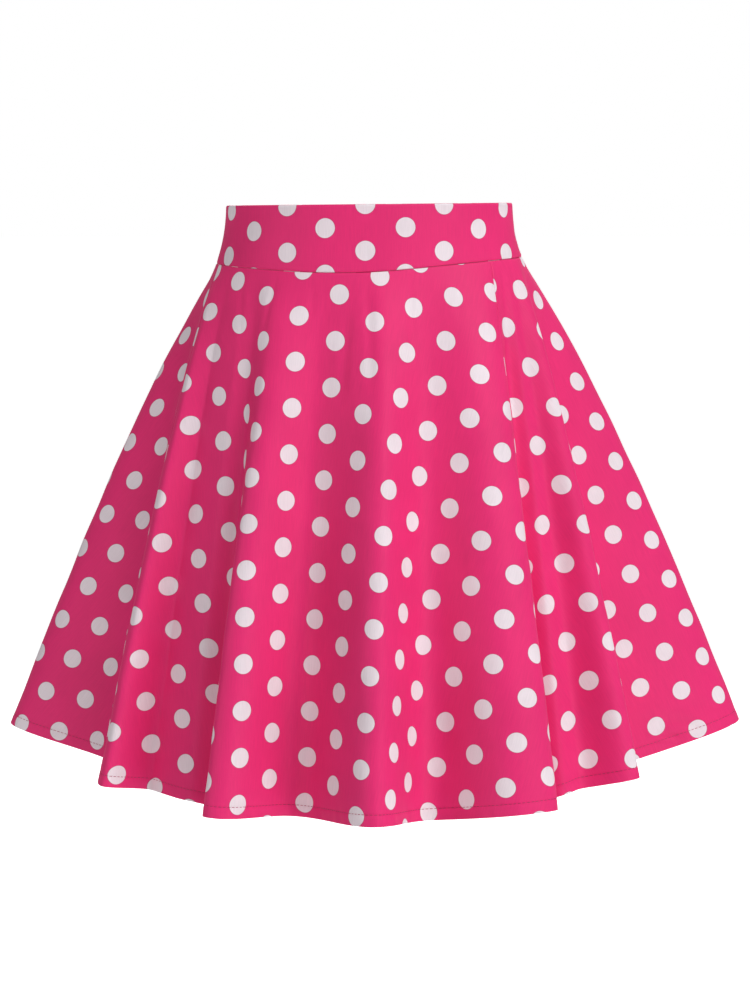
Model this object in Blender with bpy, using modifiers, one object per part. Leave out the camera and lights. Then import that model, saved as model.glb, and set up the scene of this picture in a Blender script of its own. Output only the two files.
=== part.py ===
"""A flared A-line skirt with a high fitted waistband, shaped as it is when worn.

Metres, +Z up. The origin is the middle of the waist, level with the waistband's top edge.
The front of the skirt faces -Y, and the skirt hangs down along -Z.

Azimuths turn about +Z: 0 is straight to the front (-Y), 90 is the +X side, 180 the back.
The cloth is a loft: straight lines of cloth run from an oval waist seam to a folded hem
line, which is drawn through the crest and the valley of each fold.
"""

from collections import namedtuple
from math import cos, pi, radians, sin

import bmesh
import bpy
import numpy as np
from mathutils import Matrix, Vector

MM = 0.001

# ---------------------------------------------------------------- driving sizes

CLOTH_WALL = 1.5 * MM          # skirt cloth
BAND_WALL = 2.0 * MM           # waistband, two layers and a stiffener
SEAM_GAP = 0.3 * MM            # between two pieces that meet at a seam
# Two skirt panels meet at a slight bend, which brings their inner faces closer than their
# outer ones. These gaps on the outer face leave 0.3 mm where the cloth comes closest.
PANEL_GAP_LEFT = 0.5 * MM
PANEL_GAP_RIGHT = 0.8 * MM
PANEL_GAP_BACK = 0.55 * MM

BAND_TOP_HALF = (122.5 * MM, 84.5 * MM)     # half width, half depth at the top edge
BAND_SEAM_HALF = (131.0 * MM, 90.5 * MM)    # the same at the waist seam
BAND_FLARE_POWER = 2.1         # the band is upright above and flares only near its seam
BAND_TILT = 1.2 * MM           # the top edge rises this much at the +X side

SEAM_DROP = 50.0 * MM          # the waist seam below the top edge, all round on average
SEAM_DROP_FRONT = 2.75 * MM    # added at the front, taken away at the back
SEAM_DROP_SIDE = -2.85 * MM    # added at the +X side, taken away at the -X side
SEAM_DROP_SADDLE = 2.7 * MM    # added at front and back, taken away at both sides
SEAM_DROP_TWIST = -0.7 * MM    # added half way between the sides and the front or back

HIP_SPRING = 0.19              # how much faster the skirt spreads over the hip than below
HIP_SIDE = 0.30                # more of that at the two sides, just below the waist

CENTRE_BACK = 180.0            # azimuths of the vertical seams at the waist, in degrees
SEAM_LEFT = -78.0
SEAM_RIGHT = 51.0
BAND_SEAM_SIDE = 97.0          # the waistband's own side seams, just behind each side

# One row for each fold of the hem, from the -X side over the front to the +X side and
# round the back. Each fold has a crest and, after it, a valley: azimuth in degrees,
# radius from the middle and drop below the waistband's top edge in millimetres.
# fullness is how broad the crest is rolled.
Fold = namedtuple(
    "Fold",
    "name crest_deg crest_mm crest_drop valley_deg valley_mm valley_drop fullness",
)
FOLDS = (
    Fold("left_side", -79.0, 311, 440, -61.0, 250, 457, 0.9),
    Fold("left_outer", -50.2, 281, 467, -48.0, 238, 475, 0.9),
    Fold("left_low", -38.0, 238, 477, -32.0, 228, 481, 0.9),
    Fold("left_inner", -26.9, 276, 477, -16.0, 216, 485, 1.2),
    Fold("centre", 1.0, 284, 475, 12.0, 231, 484, 0.8),
    Fold("right_inner", 28.3, 291, 470, 36.0, 226, 481, 1.5),
    Fold("right_low", 41.0, 243, 473, 44.5, 243, 471, 0.8),
    Fold("right_outer", 51.3, 279, 462, 57.0, 240, 463, 1.2),
    Fold("right_side", 79.6, 321, 437, 94.0, 278, 446, 0.9),
    Fold("back_right_side", 107.0, 300, 448, 119.0, 250, 456, 0.9),
    Fold("back_right_outer", 133.0, 285, 460, 146.0, 230, 467, 1.1),
    Fold("back_right_inner", 160.0, 277, 464, 173.0, 222, 470, 0.9),
    Fold("back_left_inner", 188.0, 275, 465, 203.0, 226, 471, 1.2),
    Fold("back_left_outer", 217.0, 282, 461, 231.0, 238, 462, 0.9),
    Fold("back_left_side", 246.0, 294, 452, 262.0, 260, 448, 1.0),
)
VALLEY_FULLNESS = 0.9

# Where each skirt panel ends on the hem line: in the fold named, this share of the way
# from its crest (0 to 1) or from its valley to the next crest (1 to 2).
Panel = namedtuple("Panel", "name hem_from hem_to waist_from waist_to columns trims")
PANELS = (
    Panel(
        "skirt_front", ("left_side", 1.80), ("right_inner", 0.4),
        SEAM_LEFT, SEAM_RIGHT, 86, (PANEL_GAP_LEFT / 2, PANEL_GAP_RIGHT / 2),
    ),
    Panel(
        "skirt_back_right", ("right_inner", 0.4), ("back_right_inner", 1.5),
        SEAM_RIGHT, CENTRE_BACK, 88, (PANEL_GAP_RIGHT / 2, PANEL_GAP_BACK / 2),
    ),
    Panel(
        "skirt_back_left", ("back_right_inner", 1.5), ("left_side", 1.80),
        CENTRE_BACK, SEAM_LEFT + 360.0, 68, (PANEL_GAP_BACK / 2, PANEL_GAP_LEFT / 2),
    ),
)
PANEL_ROWS = 8                 # rows of faces from waist seam to hem
EDGE_SHARE = 0.002             # share of a panel's width in its first and in its last column
HEM_STEPS = 48                 # points between a crest and its valley on the drawn hem line
SKIRT_TOP_GAP = 1.0 * MM       # the skirt's upper edge below the waistband's lower edge

BAND_ROWS = 4
BAND_STEP_DEG = 5.0            # one column of band faces for about this much azimuth

# The concealed zip at the centre back.
ZIP_LENGTH = 190.0 * MM
TAPE_HALF_WIDTH = 12.0 * MM
TAPE_WALL = 1.0 * MM
TAPE_TOP = 4.0 * MM            # below the band's top edge
TAPE_COLUMNS = 4
TAPE_ROWS = 12

SLIDER_WIDTH = 7.2 * MM
SLIDER_LENGTH = 9.0 * MM
SLIDER_THICK = 1.6 * MM
SLIDER_TOP = 3.0 * MM          # below the band's top edge
SLIDER_ROUND = 0.4 * MM
EAR_THICK = 0.9 * MM
EAR_RADIUS = 1.7 * MM
EAR_FOOT_SHARE = 0.98          # the ear's foot is this much narrower than its round end
PIN_RADIUS = 0.6 * MM
PIN_HEIGHT = 3.6 * MM          # the pin's axis above the band's face
PIN_FROM_TOP = 2.6 * MM        # the pin's axis below the slider's top end

TAB_WIDTH = 5.0 * MM
TAB_NECK_WIDTH = 4.0 * MM      # between the ears
TAB_NECK_LENGTH = 2.6 * MM
TAB_LENGTH = 21.0 * MM
TAB_THICK = 1.0 * MM
TAB_EYE_RADIUS = 1.4 * MM
TAB_BORE_RADIUS = 0.75 * MM
TAB_END_STEPS = 8
ROUND_SIDES = 16

# Colours are linear values of the cloth's pink ground, the zip's tape and its lacquer.
PINK = (0.73, 0.032, 0.150, 1.0)
TAPE_PINK = (0.62, 0.030, 0.125, 1.0)
LACQUER = (0.58, 0.027, 0.115, 1.0)


# ---------------------------------------------------------------- materials

def make_material(name, colour, roughness, metallic=0.0):
    """A Principled BSDF with one colour."""
    material = bpy.data.materials.new(name)
    material.use_nodes = True
    shader = material.node_tree.nodes["Principled BSDF"]
    shader.inputs["Base Color"].default_value = colour
    shader.inputs["Roughness"].default_value = roughness
    shader.inputs["Metallic"].default_value = metallic
    return material


# ---------------------------------------------------------------- the cloth's form

def plan_point(azimuth_deg, radius):
    """A point in plan at this azimuth and radius."""
    a = radians(azimuth_deg)
    return np.array([radius * sin(a), -radius * cos(a)])


def plan_tangent(azimuth_deg):
    """The direction round the skirt at this azimuth, towards greater azimuths."""
    a = radians(azimuth_deg)
    return np.array([cos(a), sin(a)])


def hem_line():
    """The closed hem line, HEM_STEPS points for each crest-valley or valley-crest stretch.

    Each stretch is a cubic curve that runs along the ring at both of its ends. The
    handles there are as long as the stretch's chord times the fullness.
    """
    knots = []
    for fold in FOLDS:
        knots.append((fold.crest_deg, fold.crest_mm, fold.crest_drop, fold.fullness))
        knots.append((fold.valley_deg, fold.valley_mm, fold.valley_drop, VALLEY_FULLNESS))
    s = np.arange(HEM_STEPS)[:, None] / HEM_STEPS
    start, start_pull = 2 * s**3 - 3 * s**2 + 1, s**3 - 2 * s**2 + s
    stretches = []
    for knot, after in zip(knots, knots[1:] + knots[:1]):
        a = plan_point(knot[0], knot[1] * MM)
        b = plan_point(after[0], after[1] * MM)
        chord = np.linalg.norm(b - a)
        plan = start * a + (1 - start) * b
        plan = plan + start_pull * plan_tangent(knot[0]) * chord * knot[3]
        plan = plan + (s**3 - s**2) * plan_tangent(after[0]) * chord * after[3]
        height = -(start * knot[2] + (1 - start) * after[2]) * MM
        stretches.append(np.hstack([plan, height]))
    return np.vstack(stretches)


def hem_index(place):
    """The hem line's point number at a place given as (fold name, share of its length)."""
    names = [fold.name for fold in FOLDS]
    return int(round((names.index(place[0]) * 2 + place[1]) * HEM_STEPS))


def even_points(points, count, trims):
    """The line resampled to count points, shortened at its two ends by the trims.

    They are an equal length apart, except that the first and the last gap are narrow,
    so that two panels turn their edges the same way where they meet.
    """
    steps = np.linalg.norm(np.diff(points[:, :2], axis=0), axis=1)
    length = np.concatenate([[0.0], np.cumsum(steps)])
    inner = np.linspace(EDGE_SHARE, 1.0 - EDGE_SHARE, count - 2)
    shares = np.concatenate([[0.0], inner, [1.0]])
    wanted = trims[0] + shares * (length[-1] - trims[0] - trims[1])
    return np.stack([np.interp(wanted, length, column) for column in points.T], axis=1)


def oval(half, azimuths_deg):
    """Points in plan on an oval, by its own angle: half is (half width, half depth)."""
    a = np.radians(azimuths_deg)
    return np.stack([half[0] * np.sin(a), -half[1] * np.cos(a)], axis=1)


def seam_drop(plan):
    """How far the waist seam lies below the band's top edge at these plan points."""
    a = np.arctan2(plan[:, 0], -plan[:, 1])
    return (
        SEAM_DROP
        + SEAM_DROP_FRONT * np.cos(a)
        + SEAM_DROP_SIDE * np.sin(a)
        + SEAM_DROP_SADDLE * np.cos(2 * a)
        + SEAM_DROP_TWIST * np.sin(2 * a)
    )


def skirt_surface(panel, hem, columns, rows):
    """Grid of points (rows + 1, columns + 1, 3) on a panel's outer face, waist to hem.

    A line of cloth joins the points that lie the same share of the way along the
    panel's waist edge and along its hem. HIP_SPRING and HIP_SIDE bow it out over the hip.
    """
    first, last = hem_index(panel.hem_from), hem_index(panel.hem_to)
    if last <= first:
        last += len(hem)
    stretch = hem[np.arange(first, last + 1) % len(hem)]
    low = even_points(stretch, columns + 1, panel.trims)
    angles = np.linspace(panel.waist_from, panel.waist_to, 721)
    high = even_points(oval(BAND_SEAM_HALF, angles), columns + 1, panel.trims)
    top = -(seam_drop(high) + SKIRT_TOP_GAP)
    t = np.linspace(0.0, 1.0, rows + 1)[:, None, None]
    sideways = (high[None, :, :1] / BAND_SEAM_HALF[0]) ** 2
    spread = t + HIP_SPRING * t * (1 - t) + HIP_SIDE * sideways * t * (1 - t) ** 3
    plan = high[None] * (1 - spread) + low[None, :, :2] * spread
    height = top[None, :, None] * (1 - t) + low[None, :, 2:] * t
    return np.concatenate([plan, height], axis=2)


def band_surface(azimuths_deg, rows):
    """Grid of points on the waistband's outer face, top edge to waist seam."""
    top = oval(BAND_TOP_HALF, azimuths_deg)
    low = oval(BAND_SEAM_HALF, azimuths_deg)
    top_height = BAND_TILT * np.sin(np.radians(azimuths_deg))
    s = np.linspace(0.0, 1.0, rows + 1)[:, None]
    flare = (s**BAND_FLARE_POWER)[..., None]
    plan = top[None] * (1 - flare) + low[None] * flare
    height = top_height[None] * (1 - s) - seam_drop(low)[None] * s
    return np.concatenate([plan, height[..., None]], axis=2)


def grid_normals(grid):
    """Unit normals of a grid of points, pointing out of the skirt."""
    along = np.gradient(grid, axis=1)
    down = np.gradient(grid, axis=0)
    normal = np.cross(down, along)
    return normal / np.linalg.norm(normal, axis=2, keepdims=True)


# ---------------------------------------------------------------- making objects

def add_object(name, mesh, material, collection):
    """A named object with its material, in the skirt's collection."""
    obj = bpy.data.objects.new(name, mesh)
    obj.data.materials.append(material)
    collection.objects.link(obj)
    return obj


def cloth_object(name, grid, wall, material, collection):
    """An open sheet lofted over the grid, given its wall inwards by Solidify."""
    rows, columns = grid.shape[0], grid.shape[1]
    number = np.arange(rows * columns).reshape(rows, columns)
    faces = np.stack(
        [number[1:, :-1], number[1:, 1:], number[:-1, 1:], number[:-1, :-1]], axis=2
    )
    mesh = bpy.data.meshes.new(name)
    mesh.from_pydata(grid.reshape(-1, 3).tolist(), [], faces.reshape(-1, 4).tolist())
    mesh.shade_smooth()
    obj = add_object(name, mesh, material, collection)
    solidify = obj.modifiers.new("wall", "SOLIDIFY")
    solidify.thickness = wall
    solidify.offset = -1.0
    solidify.use_even_offset = True
    return obj


def band_azimuths(start, end):
    """Azimuths from start to end, trimmed by half a seam gap at each end."""
    trim = np.degrees(SEAM_GAP / 2 / BAND_TOP_HALF[1])
    columns = round((end - start) / BAND_STEP_DEG)
    return np.linspace(start + trim, end - trim, columns + 1)


def bmesh_box(size, centre):
    """A box as its own bmesh."""
    bm = bmesh.new()
    bmesh.ops.create_cube(bm, size=1.0)
    bmesh.ops.scale(bm, vec=size, verts=bm.verts)
    bmesh.ops.translate(bm, vec=centre, verts=bm.verts)
    return bm


def bmesh_rod(radius, length, centre):
    """A round rod along X as its own bmesh."""
    bm = bmesh.new()
    bmesh.ops.create_cone(
        bm, cap_ends=True, segments=ROUND_SIDES, radius1=radius, radius2=radius, depth=length
    )
    bmesh.ops.rotate(bm, matrix=Matrix.Rotation(pi / 2, 3, "Y"), verts=bm.verts)
    bmesh.ops.translate(bm, vec=centre, verts=bm.verts)
    return bm


def tool_object(name, bm, collection):
    """A hidden helper that joins or cuts another object."""
    mesh = bpy.data.meshes.new(name)
    bm.to_mesh(mesh)
    bm.free()
    obj = bpy.data.objects.new(name, mesh)
    obj.hide_render = True
    obj.display_type = "WIRE"
    collection.objects.link(obj)
    return obj


def add_boolean(obj, tool, operation):
    """A Boolean with the EXACT solver."""
    modifier = obj.modifiers.new(tool.name, "BOOLEAN")
    modifier.operation = operation
    modifier.solver = "EXACT"
    modifier.object = tool


# ---------------------------------------------------------------- the pieces

def make_waistband(material, collection):
    """The band in three pieces: the front and two backs that meet at the zip."""
    spans = (
        ("waistband_front", -BAND_SEAM_SIDE, BAND_SEAM_SIDE),
        ("waistband_back_right", BAND_SEAM_SIDE, CENTRE_BACK),
        ("waistband_back_left", CENTRE_BACK, 360.0 - BAND_SEAM_SIDE),
    )
    for name, start, end in spans:
        grid = band_surface(band_azimuths(start, end), BAND_ROWS)
        cloth_object(name, grid, BAND_WALL, material, collection)


def make_skirt(material, collection):
    """The front panel and the two back panels."""
    hem = hem_line()
    for panel in PANELS:
        grid = skirt_surface(panel, hem, panel.columns, PANEL_ROWS)
        cloth_object(panel.name, grid, CLOTH_WALL, material, collection)
    return hem


def back_ray(hem, drop, across):
    """The outer face at the centre back: the point this far below the top edge, and
    this far to the side of the seam, with its outward normal.

    It is read from the band above the waist seam, and from the two back panels below it.
    """
    seam = float(seam_drop(oval(BAND_SEAM_HALF, np.array([CENTRE_BACK])))[0])
    turn = np.degrees(across / BAND_SEAM_HALF[0])
    if drop < seam:
        grid = band_surface(CENTRE_BACK + np.array([turn - 1.0, turn, turn + 1.0]), 40)
        row = int(round(40 * drop / seam))
        return grid[row, 1], grid_normals(grid)[row, 1]
    panel = PANELS[1] if across < 0 else PANELS[2]
    grid = skirt_surface(panel, hem, 400, 200)
    column = -1 if across < 0 else 0
    row = int(np.argmin(np.abs(grid[:, column, 2] + drop)))
    steps = np.linalg.norm(np.diff(grid[row, :, :2], axis=0), axis=1)
    length = np.concatenate([[0.0], np.cumsum(steps)])
    wanted = length[-1] + across if across < 0 else across
    place = int(np.argmin(np.abs(length - wanted)))
    return grid[row, place], grid_normals(grid)[row, place]


def make_zip_tape(hem, material, collection):
    """The zip's tape, lying inside the band and the panels along the centre back seam."""
    drops = np.linspace(TAPE_TOP, ZIP_LENGTH, TAPE_ROWS + 1)
    sides = np.linspace(-TAPE_HALF_WIDTH, TAPE_HALF_WIDTH, TAPE_COLUMNS + 1)
    inwards = BAND_WALL + SEAM_GAP
    grid = np.empty((TAPE_ROWS + 1, TAPE_COLUMNS + 1, 3))
    for i, drop in enumerate(drops):
        for j, side in enumerate(sides):
            point, normal = back_ray(hem, float(drop), float(side))
            grid[i, j] = point - normal * inwards
    cloth_object("zip_tape", grid, TAPE_WALL, material, collection)


def zip_frame():
    """Where the slider lies: local X is across, local Z up along the band and local Y
    out of it, with the origin on the band's face at the slider's top end."""
    grid = band_surface(CENTRE_BACK + np.array([-1.0, 0.0, 1.0]), 40)
    row = int(round(40 * SLIDER_TOP / SEAM_DROP))
    below = int(round(40 * (SLIDER_TOP + SLIDER_LENGTH) / SEAM_DROP))
    up = Vector(grid[row, 1] - grid[below, 1]).normalized()
    across = Vector((1.0, 0.0, 0.0))
    axes = Matrix((across, up.cross(across), up)).transposed()
    return Matrix.Translation(Vector(grid[row, 1])) @ axes.to_4x4()


def make_slider(frame, material, collection, tools):
    """The slider's outer plate with two ears and the pin that the tab swings on."""
    plate_bm = bmesh_box(
        (SLIDER_WIDTH, SLIDER_THICK, SLIDER_LENGTH),
        (0.0, SEAM_GAP + SLIDER_THICK / 2, -SLIDER_LENGTH / 2),
    )
    bmesh.ops.bevel(
        plate_bm, geom=plate_bm.edges, offset=SLIDER_ROUND, segments=2, affect="EDGES"
    )
    mesh = bpy.data.meshes.new("zip_slider")
    plate_bm.to_mesh(mesh)
    plate_bm.free()
    slider = add_object("zip_slider", mesh, material, collection)
    slider.matrix_world = frame
    pin_centre = Vector((0.0, PIN_HEIGHT, -PIN_FROM_TOP))
    ear_x = SLIDER_WIDTH / 2 - SLIDER_ROUND - EAR_THICK / 2
    foot_height = PIN_HEIGHT - SEAM_GAP - SLIDER_THICK / 2
    foot_drop = Vector((0.0, -foot_height / 2, 0.0))
    foot_size = (EAR_THICK, foot_height, 2 * EAR_RADIUS * EAR_FOOT_SHARE)
    joined = [("pin", bmesh_rod(PIN_RADIUS, 2 * ear_x, pin_centre))]
    for label, side in (("left", -1.0), ("right", 1.0)):
        centre = pin_centre + Vector((side * ear_x, 0.0, 0.0))
        joined.append(("ear_foot_" + label, bmesh_box(foot_size, centre + foot_drop)))
        joined.append(("ear_" + label, bmesh_rod(EAR_RADIUS, EAR_THICK, centre)))
    for label, bm in reversed(joined):
        tool = tool_object(label, bm, tools)
        tool.matrix_world = frame
        add_boolean(slider, tool, "UNION")
    return frame @ pin_centre


def tab_outline():
    """The pull tab's flat outline in its local X-Z plane, hanging down from its axis."""
    half, neck = TAB_WIDTH / 2, TAB_NECK_WIDTH / 2
    straight = TAB_LENGTH - half
    line = [(neck, 0.0), (neck, -TAB_NECK_LENGTH), (half, -TAB_NECK_LENGTH - half / 2)]
    for k in range(TAB_END_STEPS + 1):
        a = pi * k / TAB_END_STEPS
        line.append((half * cos(a), -straight - half * sin(a)))
    line += [(-half, -TAB_NECK_LENGTH - half / 2), (-neck, -TAB_NECK_LENGTH), (-neck, 0.0)]
    return [(x, 0.0, z) for x, z in line]


def make_pull_tab(hinge, material, collection, tools):
    """The pull tab, hanging straight down from the slider's pin: a flat tongue with a
    rounded end, and an eye round the pin."""
    outline = tab_outline()
    mesh = bpy.data.meshes.new("zip_pull_tab")
    mesh.from_pydata(outline, [], [list(range(len(outline)))])
    tab = add_object("zip_pull_tab", mesh, material, collection)
    tab.location = hinge
    solidify = tab.modifiers.new("thickness", "SOLIDIFY")
    solidify.thickness = TAB_THICK
    solidify.offset = 0.0
    origin = (0.0, 0.0, 0.0)
    eye = tool_object("tab_eye", bmesh_rod(TAB_EYE_RADIUS, TAB_NECK_WIDTH, origin), tools)
    bore_length = 2 * TAB_NECK_WIDTH
    bore = tool_object("tab_bore", bmesh_rod(TAB_BORE_RADIUS, bore_length, origin), tools)
    eye.location = hinge
    bore.location = hinge
    add_boolean(tab, eye, "UNION")
    add_boolean(tab, bore, "DIFFERENCE")


# ---------------------------------------------------------------- the whole skirt

def main():
    for obj in list(bpy.data.objects):
        bpy.data.objects.remove(obj, do_unlink=True)
    skirt = bpy.data.collections.new("a_line_skirt")
    tools = bpy.data.collections.new("cutters")
    bpy.context.scene.collection.children.link(skirt)
    bpy.context.scene.collection.children.link(tools)

    cloth = make_material("skirt_cloth", PINK, 0.8)
    band = make_material("band_cloth", PINK, 0.8)
    tape = make_material("zip_tape_cloth", TAPE_PINK, 0.85)
    lacquer = make_material("zip_lacquer", LACQUER, 0.32)

    make_waistband(band, skirt)
    hem = make_skirt(cloth, skirt)
    make_zip_tape(hem, tape, skirt)
    hinge = make_slider(zip_frame(), lacquer, skirt, tools)
    make_pull_tab(hinge, lacquer, skirt, tools)
    print("tab hinge at", [round(v, 5) for v in hinge])


main()
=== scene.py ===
# %% [markdown]
# # A polka-dot A-line skirt, filled out as when worn
#
# The skirt is sewn from printed cotton: a high shaped waistband, a flared front panel and
# two flared side-back panels that meet at a concealed zip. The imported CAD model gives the
# places and the sizes. This script dresses it: each piece of cloth is built again as a fine
# shell with its seams, hem and stitches, and the print is drawn in each piece's flat
# pattern, so the dots run over the folds as they do on real cloth.

import bpy
import numpy as np
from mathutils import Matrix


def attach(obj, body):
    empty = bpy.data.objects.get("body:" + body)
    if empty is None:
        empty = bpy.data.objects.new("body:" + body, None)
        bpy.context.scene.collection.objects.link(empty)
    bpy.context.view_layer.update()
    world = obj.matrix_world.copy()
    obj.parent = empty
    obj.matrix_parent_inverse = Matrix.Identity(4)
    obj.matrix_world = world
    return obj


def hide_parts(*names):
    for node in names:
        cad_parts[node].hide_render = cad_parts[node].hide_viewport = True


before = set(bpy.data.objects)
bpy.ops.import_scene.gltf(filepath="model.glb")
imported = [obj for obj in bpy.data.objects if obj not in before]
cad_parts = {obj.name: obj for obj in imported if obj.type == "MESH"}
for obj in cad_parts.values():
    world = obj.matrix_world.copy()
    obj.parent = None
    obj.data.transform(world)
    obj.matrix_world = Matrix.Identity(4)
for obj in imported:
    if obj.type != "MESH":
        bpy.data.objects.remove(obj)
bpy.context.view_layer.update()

# %% [markdown]
# ## Camera
#
# The photograph looks at the skirt from its waist height, tipped down a little, through a
# long lens. A long lens far away keeps the near and the far folds close to the same size.
# The tilt, not a lens shift, puts the waist above the middle of the picture.

# %% Camera
MM = 0.001
SENSOR_MM = 36.0                 # along the picture's longer side, its height
PICTURE_HEIGHT = 1000.0          # pixels
FOCAL_LENGTH_PX = 2552.0
CAMERA_DISTANCE = 2.2
CAMERA_SIDE = 5.0 * MM
CAMERA_TILT = np.arctan2(296.0, FOCAL_LENGTH_PX)

camera_data = bpy.data.cameras.new("studio_camera")
camera_data.sensor_width = SENSOR_MM
camera_data.lens = FOCAL_LENGTH_PX * SENSOR_MM / PICTURE_HEIGHT
camera = bpy.data.objects.new("studio_camera", camera_data)
camera.location = (CAMERA_SIDE, -CAMERA_DISTANCE, 0.0)
camera.rotation_euler = (np.pi / 2 - CAMERA_TILT, 0.0, 0.0)
bpy.context.scene.collection.objects.link(camera)
bpy.context.scene.camera = camera
bpy.context.scene.view_settings.view_transform = "Standard"
print("lens", round(camera_data.lens, 1), "mm, tilt", round(np.degrees(CAMERA_TILT), 2))

# %% [markdown]
# ## Studio
#
# The picture is lit softly on white, most of all from above on the right. A wide white
# floor lies at the height where the wearer would stand, and a white world lights every
# side, so the back and the inside read well too. The floor's glow is for the camera alone.

# %% Floor, world and lamps
FLOOR_HEIGHT = -1.05
FLOOR_HALF = 80.0
FLOOR_GLOW = 0.75
WORLD_STRENGTH = 0.28


def plain_material(name, colour, roughness):
    """A Principled BSDF with one colour, for what isn't part of the skirt."""
    material = bpy.data.materials.new(name)
    material.use_nodes = True
    shader = material.node_tree.nodes["Principled BSDF"]
    shader.inputs["Base Color"].default_value = (*colour, 1.0)
    shader.inputs["Roughness"].default_value = roughness
    return material


floor_mesh = bpy.data.meshes.new("studio_floor")
floor_mesh.from_pydata(
    [(x * FLOOR_HALF, y * FLOOR_HALF, FLOOR_HEIGHT) for x, y in ((-1, -1), (1, -1), (1, 1), (-1, 1))],
    [],
    [(0, 1, 2, 3)],
)
floor = bpy.data.objects.new("studio_floor", floor_mesh)
studio_white = plain_material("studio_white", (0.93, 0.93, 0.93), 0.9)
floor_shader = studio_white.node_tree.nodes["Principled BSDF"]
floor_shader.inputs["Emission Color"].default_value = (1.0, 1.0, 1.0, 1.0)
floor_path = studio_white.node_tree.nodes.new("ShaderNodeLightPath")
glow = studio_white.node_tree.nodes.new("ShaderNodeMath")
glow.operation = "MULTIPLY"
glow.inputs[1].default_value = FLOOR_GLOW
studio_white.node_tree.links.new(floor_path.outputs["Is Camera Ray"], glow.inputs[0])
studio_white.node_tree.links.new(glow.outputs[0], floor_shader.inputs["Emission Strength"])
floor_mesh.materials.append(studio_white)
bpy.context.scene.collection.objects.link(floor)

world = bpy.data.worlds.new("studio_world")
world.use_nodes = True
background = world.node_tree.nodes["Background"]
background.inputs["Color"].default_value = (1.0, 1.0, 1.0, 1.0)
path = world.node_tree.nodes.new("ShaderNodeLightPath")
seen = world.node_tree.nodes.new("ShaderNodeMath")
seen.operation = "MULTIPLY_ADD"
seen.inputs[1].default_value = 1.0 - WORLD_STRENGTH
seen.inputs[2].default_value = WORLD_STRENGTH
world.node_tree.links.new(path.outputs["Is Camera Ray"], seen.inputs[0])
world.node_tree.links.new(seen.outputs[0], background.inputs["Strength"])
bpy.context.scene.world = world


def add_lamp(name, place, aim, size, watts):
    """A square area lamp at place, turned so that it shines at aim."""
    data = bpy.data.lights.new(name, "AREA")
    data.size = size
    data.energy = watts
    lamp = bpy.data.objects.new(name, data)
    lamp.location = place
    back = np.array(place) - np.array(aim)
    back = back / np.linalg.norm(back)
    turn = np.arctan2(back[0], -back[1])
    lamp.rotation_euler = (np.arccos(back[2]), 0.0, turn)
    bpy.context.scene.collection.objects.link(lamp)
    return lamp


SKIRT_MIDDLE = (0.0, 0.0, -0.25)
add_lamp("top_lamp", (1.2, -0.9, 2.2), SKIRT_MIDDLE, 1.1, 43.0)
add_lamp("left_lamp", (-2.3, -1.8, 0.6), SKIRT_MIDDLE, 1.1, 16.0)
add_lamp("low_lamp", (1.6, -2.0, -0.6), SKIRT_MIDDLE, 1.1, 21.0)
add_lamp("back_lamp", (0.3, 2.8, 1.0), SKIRT_MIDDLE, 1.2, 42.0)

# %% [markdown]
# ## The cloth's form
#
# A worn flared skirt is close to a ruled surface: straight lines of cloth run from the oval
# waist seam down to a hem that swings in and out. So two closed lines describe it. The hem
# line is drawn through the crest and the valley of every fold, read from the picture, and
# the same kind of folds, uneven too, go round the back that it doesn't show.

# %% Sizes of the skirt, the same as the CAD model's
CLOTH_WALL = 1.5 * MM
BAND_WALL = 2.0 * MM
SEAM_GAP = 0.3 * MM
BAND_TOP_HALF = (122.5 * MM, 84.5 * MM)
BAND_SEAM_HALF = (131.0 * MM, 90.5 * MM)
BAND_FLARE_POWER = 2.1
BAND_TILT = 1.2 * MM
HIP_SPRING = 0.19
HIP_SIDE = 0.30
CLOTH_LENGTH = 457.0 * MM        # nominal, from waist seam to hem: it spaces rows and reliefs
FRONT_SEAM_DROP = 55.5 * MM

# azimuth and radius of each crest and valley, and their drop below the waistband's top
FOLDS = (
    # crest: deg, mm, drop; valley: deg, mm, drop; fullness of the crest
    ("left_side", -79.0, 311, 440, -61.0, 250, 457, 0.9),
    ("left_outer", -50.2, 281, 467, -48.0, 238, 475, 0.9),
    ("left_low", -38.0, 238, 477, -32.0, 228, 481, 0.9),
    ("left_inner", -26.9, 276, 477, -16.0, 216, 485, 1.2),
    ("centre", 1.0, 284, 475, 12.0, 231, 484, 0.8),
    ("right_inner", 28.3, 291, 470, 36.0, 226, 481, 1.5),
    ("right_low", 41.0, 243, 473, 44.5, 243, 471, 0.8),
    ("right_outer", 51.3, 279, 462, 57.0, 240, 463, 1.2),
    ("right_side", 79.6, 321, 437, 94.0, 278, 446, 0.9),
    ("back_right_side", 107.0, 300, 448, 119.0, 250, 456, 0.9),
    ("back_right_outer", 133.0, 285, 460, 146.0, 230, 467, 1.1),
    ("back_right_inner", 160.0, 277, 464, 173.0, 222, 470, 0.9),
    ("back_left_inner", 188.0, 275, 465, 203.0, 226, 471, 1.2),
    ("back_left_outer", 217.0, 282, 461, 231.0, 238, 462, 0.9),
    ("back_left_side", 246.0, 294, 452, 262.0, 260, 448, 1.0),
)
VALLEY_FULLNESS = 0.9
HEM_STEPS = 160


# %% The two closed lines
def oval(half, azimuths_deg):
    """Points on an oval: (half width * sin a, -half depth * cos a)."""
    a = np.radians(azimuths_deg)
    return np.stack([half[0] * np.sin(a), -half[1] * np.cos(a)], axis=1)


def seam_drop(plan):
    """Depth of the waist seam: 50 mm and a few waves round the body, by plan azimuth."""
    a = np.arctan2(plan[:, 0], -plan[:, 1])
    waves = 50.0 + 2.75 * np.cos(a) - 2.85 * np.sin(a) + 2.7 * np.cos(2 * a) - 0.7 * np.sin(2 * a)
    return waves * MM


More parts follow.
